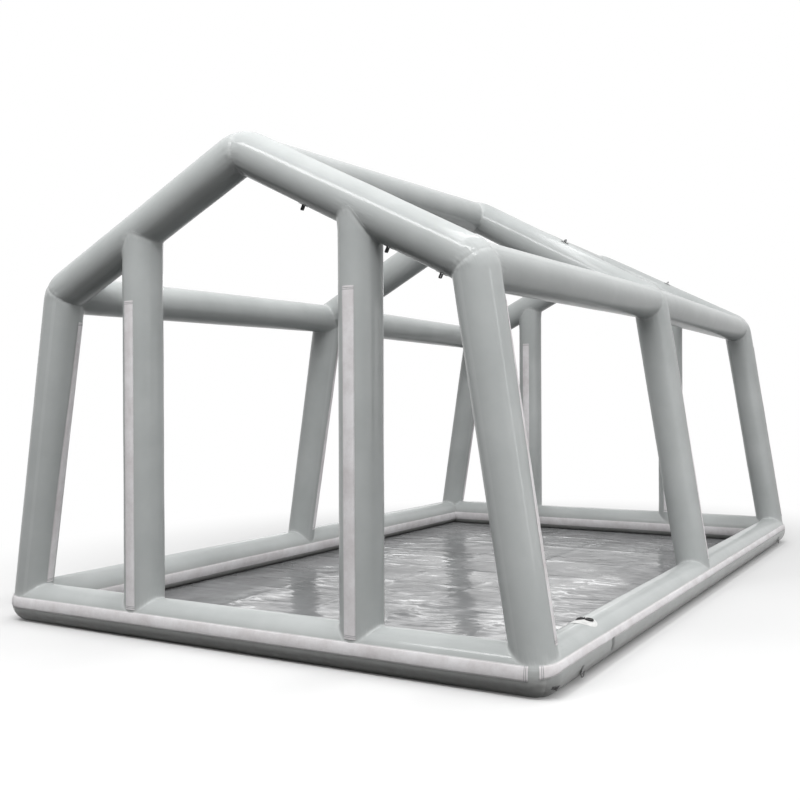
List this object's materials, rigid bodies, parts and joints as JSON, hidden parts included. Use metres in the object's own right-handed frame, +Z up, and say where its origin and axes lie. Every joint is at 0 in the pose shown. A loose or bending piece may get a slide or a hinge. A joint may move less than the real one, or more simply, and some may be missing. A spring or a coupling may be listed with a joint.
{
  "type": "inflatable tent",
  "caption": "Gable tent frame of welded air tubes with door posts, floor sheet, hook strips, an open air valve with hinged cap, and lashing rings.",
  "frame": {"origin": "middle of the tent's outline on the ground", "axes": "+Z up, Y along the tent with the front gable and the valve end at -Y, X across the tent"},
  "size_m": [4.098, 6.7456, 3.2678],
  "materials": {
    "tube_pvc": "glossy coated fabric",
    "floor_sheet": "glossy coated fabric",
    "hook_strip": "matt hook tape",
    "patch": "glossy coated fabric",
    "valve_plastic": "satin",
    "spring_wire": "bright",
    "seal": "matt",
    "webbing": "woven",
    "ring_wire": "bright"
  },
  "bodies": {
    "tent_frame": {"base_strip_inner": "hook_strip", "base_strip_outer": "hook_strip", "base_tube_front": "tube_pvc", "base_tube_left": "tube_pvc", "base_tube_rear": "tube_pvc", "base_tube_right": "tube_pvc", "door_post_front_left": "tube_pvc", "door_post_front_right": "tube_pvc", "door_post_rear_left": "tube_pvc", "door_post_rear_right": "tube_pvc", "eave_front_left": "tube_pvc", "eave_front_right": "tube_pvc", "eave_rear_left": "tube_pvc", "eave_rear_right": "tube_pvc", "floor_sheet": "floor_sheet", "lashing_tab_front_left": "webbing", "lashing_tab_front_right": "webbing", "lashing_tab_rear_left": "webbing", "lashing_tab_rear_right": "webbing", "leg_front_left": "tube_pvc", "leg_front_right": "tube_pvc", "leg_middle_left": "tube_pvc", "leg_middle_right": "tube_pvc", "leg_rear_left": "tube_pvc", "leg_rear_right": "tube_pvc", "leg_strip_inner_front_left": "hook_strip", "leg_strip_inner_front_right": "hook_strip", "leg_strip_inner_middle_left": "hook_strip", "leg_strip_inner_middle_right": "hook_strip", "leg_strip_inner_rear_left": "hook_strip", "leg_strip_inner_rear_right": "hook_strip", "leg_strip_outer_front_left": "hook_strip", "leg_strip_outer_front_right": "hook_strip", "leg_strip_outer_middle_left": "hook_strip", "leg_strip_outer_middle_right": "hook_strip", "leg_strip_outer_rear_left": "hook_strip", "leg_strip_outer_rear_right": "hook_strip", "post_strip_front_left": "hook_strip", "post_strip_front_right": "hook_strip", "post_strip_rear_left": "hook_strip", "post_strip_rear_right": "hook_strip", "rafter_front_left": "tube_pvc", "rafter_front_right": "tube_pvc", "rafter_middle_left": "tube_pvc", "rafter_middle_right": "tube_pvc", "rafter_rear_left": "tube_pvc", "rafter_rear_right": "tube_pvc", "ridge_front": "tube_pvc", "ridge_rear": "tube_pvc", "valve_body": "valve_plastic", "valve_collar": "valve_plastic", "valve_patch": "patch", "valve_spring": "spring_wire"},
    "cap": {"valve_cap": "valve_plastic", "cap_seal": "seal"},
    "plunger": {"valve_plunger": "valve_plastic"},
    "ring_front_right": {"lashing_ring_front_right": "ring_wire"},
    "ring_front_left": {"lashing_ring_front_left": "ring_wire"},
    "ring_rear_right": {"lashing_ring_rear_right": "ring_wire"},
    "ring_rear_left": {"lashing_ring_rear_left": "ring_wire"}
  },
  "joints": [
    {"name": "valve_cap_hinge", "type": "hinge", "parent": "tent_frame", "child": "cap", "pos_m": [1.9146, -2.52, 0.27003], "axis": [0, -1, 0], "range_deg": [0, 200]},
    {"name": "valve_plunger_press", "type": "slide", "parent": "tent_frame", "child": "plunger", "axis": [0.1994, 0, -0.9799], "range_m": [0, 0.005], "stiffness_N_per_m": 500, "springref_m": -0.003, "deforming": ["valve_spring"]},
    {"name": "lashing_ring_front_right_swing", "type": "hinge", "parent": "tent_frame", "child": "ring_front_right", "pos_m": [2.04088, -2.905, 0.06583], "axis": [0, -1, 0], "range_deg": [-20, 130]},
    {"name": "lashing_ring_front_left_swing", "type": "hinge", "parent": "tent_frame", "child": "ring_front_left", "pos_m": [-2.04088, -2.905, 0.06583], "axis": [0, 1, 0], "range_deg": [-20, 130]},
    {"name": "lashing_ring_rear_right_swing", "type": "hinge", "parent": "tent_frame", "child": "ring_rear_right", "pos_m": [2.04088, 2.905, 0.06583], "axis": [0, -1, 0], "range_deg": [-20, 130]},
    {"name": "lashing_ring_rear_left_swing", "type": "hinge", "parent": "tent_frame", "child": "ring_rear_left", "pos_m": [-2.04088, 2.905, 0.06583], "axis": [0, 1, 0], "range_deg": [-20, 130]}
  ]
}
